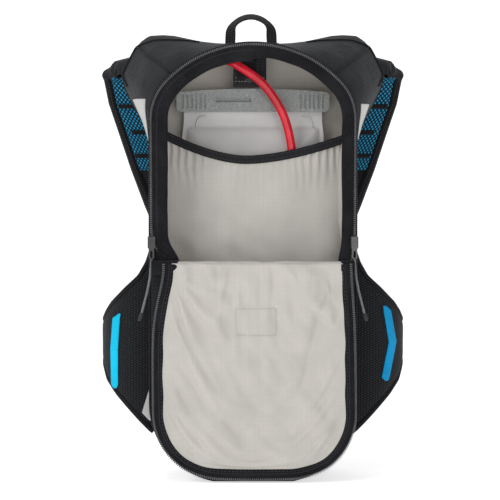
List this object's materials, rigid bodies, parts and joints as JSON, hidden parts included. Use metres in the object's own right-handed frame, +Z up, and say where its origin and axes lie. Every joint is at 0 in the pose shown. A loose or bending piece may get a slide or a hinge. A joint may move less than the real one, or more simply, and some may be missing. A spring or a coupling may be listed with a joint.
{
  "type": "hydration pack",
  "caption": "Slim backpack standing open: arched zip-around front flap folded down over its base, drinking bladder with hose inside, shoulder straps and hip wings.",
  "frame": {"origin": "centre of the flat base that the pack stands on", "axes": "+Z up, -Y out of the zipped front, +Y towards the wearer's back, +X to the right seen from the front"},
  "size_m": [0.337, 0.1979, 0.518],
  "materials": {
    "shell_fabric": "woven ripstop, matt",
    "lining_fabric": "light grey coated lining",
    "pad_fabric": "ribbed mesh over foam",
    "blue_mesh": "open spacer mesh",
    "accent_stripe": "smooth bonded stripe",
    "zip_tape": "woven tape",
    "zip_teeth": "moulded coil",
    "zip_metal": "satin black enamel",
    "webbing": "ribbed webbing",
    "elastic": "ribbed elastic",
    "buckle_plastic": "moulded acetal",
    "clip_plastic": "fine grained moulding",
    "bladder_film": "translucent film",
    "red_tube": "glossy clear-coated hose",
    "valve_rubber": "soft silicone",
    "reflective": "retro-reflective film",
    "stiffener_plastic": "extruded sheet",
    "cord": "braided accessory cord"
  },
  "bodies": {
    "pack": {"back_panel": "pad_fabric", "back_stiffener": "stiffener_plastic", "back_pads": "blue_mesh", "side_panel_left": "shell_fabric", "side_panel_right": "shell_fabric", "top_panel": "shell_fabric", "base_panel": "shell_fabric", "lower_front_panel": "shell_fabric", "lining": "lining_fabric", "zip_tape_body": "zip_tape", "zip_teeth_body": "zip_teeth", "bladder_sleeve": "lining_fabric", "sleeve_elastic": "elastic", "hang_strap": "webbing", "hang_hook": "buckle_plastic", "bladder": "bladder_film", "slide_clip": "clip_plastic", "bladder_outlet": "buckle_plastic", "drink_tube": "red_tube", "hose_port": "valve_rubber", "haul_anchor": "webbing", "yoke_left": "shell_fabric", "yoke_right": "shell_fabric", "reflective_patch_left": "reflective", "reflective_patch_right": "reflective", "lower_webbing_left": "webbing", "lower_webbing_right": "webbing"},
    "front_flap": {"flap_shell": "shell_fabric", "flap_lining": "lining_fabric", "flap_zip_tape": "zip_tape", "flap_zip_teeth": "zip_teeth"},
    "slider_left": {"zip_slider_left": "zip_metal"},
    "slider_right": {"zip_slider_right": "zip_metal"},
    "pull_left": {"zip_pull_left": "zip_metal", "pull_cord_left": "cord"},
    "pull_right": {"zip_pull_right": "zip_metal", "pull_cord_right": "cord"},
    "haul_loop": {"haul_loop": "webbing"},
    "left_strap": {"strap_pad_left": "pad_fabric", "strap_mesh_left": "blue_mesh", "ladder_lock_left": "buckle_plastic", "sternum_webbing_left": "webbing", "sternum_socket": "buckle_plastic", "strap_tube": "red_tube", "tube_keepers": "elastic", "valve_body": "buckle_plastic"},
    "bite_valve": {"bite_valve": "valve_rubber"},
    "right_strap": {"strap_pad_right": "pad_fabric", "strap_mesh_right": "blue_mesh", "ladder_lock_right": "buckle_plastic", "sternum_webbing_right": "webbing", "sternum_plug": "buckle_plastic"},
    "left_wing": {"wing_pad_left": "pad_fabric", "wing_stripe_left": "accent_stripe", "belt_webbing_left": "webbing", "belt_socket": "buckle_plastic"},
    "right_wing": {"wing_pad_right": "pad_fabric", "wing_stripe_right": "accent_stripe", "belt_webbing_right": "webbing", "belt_plug": "buckle_plastic"}
  },
  "joints": [
    {"name": "flap_fold", "type": "hinge", "parent": "pack", "child": "front_flap", "pos_m": [0, -0.066, 0.241], "axis": [-1, 0, 0], "range_deg": [0, 180]},
    {"name": "slider_left_slide", "type": "slide", "parent": "pack", "child": "slider_left", "axis": [0, 0, 1], "range_m": [0, 0.12]},
    {"name": "slider_right_slide", "type": "slide", "parent": "pack", "child": "slider_right", "axis": [0, 0, 1], "range_m": [0, 0.12]},
    {"name": "pull_left_flip", "type": "hinge", "parent": "slider_left", "child": "pull_left", "pos_m": [-0.1115, -0.0613, 0.264], "axis": [-1, 0, 0], "range_deg": [0, 180]},
    {"name": "pull_right_flip", "type": "hinge", "parent": "slider_right", "child": "pull_right", "pos_m": [0.1115, -0.0613, 0.264], "axis": [-1, 0, 0], "range_deg": [0, 180]},
    {"name": "haul_loop_fold", "type": "hinge", "parent": "pack", "child": "haul_loop", "pos_m": [0, 0.027, 0.49], "axis": [1, 0, 0], "range_deg": [-75, 75], "stiffness_Nm_per_rad": 0.004},
    {"name": "left_strap_swing", "type": "hinge", "parent": "pack", "child": "left_strap", "pos_m": [-0.12, 0.0593, 0.4574], "axis": [1, 0, 0], "range_deg": [0, 55]},
    {"name": "right_strap_swing", "type": "hinge", "parent": "pack", "child": "right_strap", "pos_m": [0.12, 0.0593, 0.4574], "axis": [1, 0, 0], "range_deg": [0, 55]},
    {"name": "bite_valve_twist", "type": "hinge", "parent": "left_strap", "child": "bite_valve", "pos_m": [-0.09795, 0.11514, 0.32096], "axis": [0.2296, -0.1485, -0.9619], "range_deg": [-90, 90]},
    {"name": "left_wing_swing", "type": "hinge", "parent": "pack", "child": "left_wing", "pos_m": [-0.1185, 0.035, 0.15], "axis": [0, 0, 1], "range_deg": [0, 60]},
    {"name": "right_wing_swing", "type": "hinge", "parent": "pack", "child": "right_wing", "pos_m": [0.1185, 0.035, 0.15], "axis": [0, 0, -1], "range_deg": [0, 60]}
  ]
}
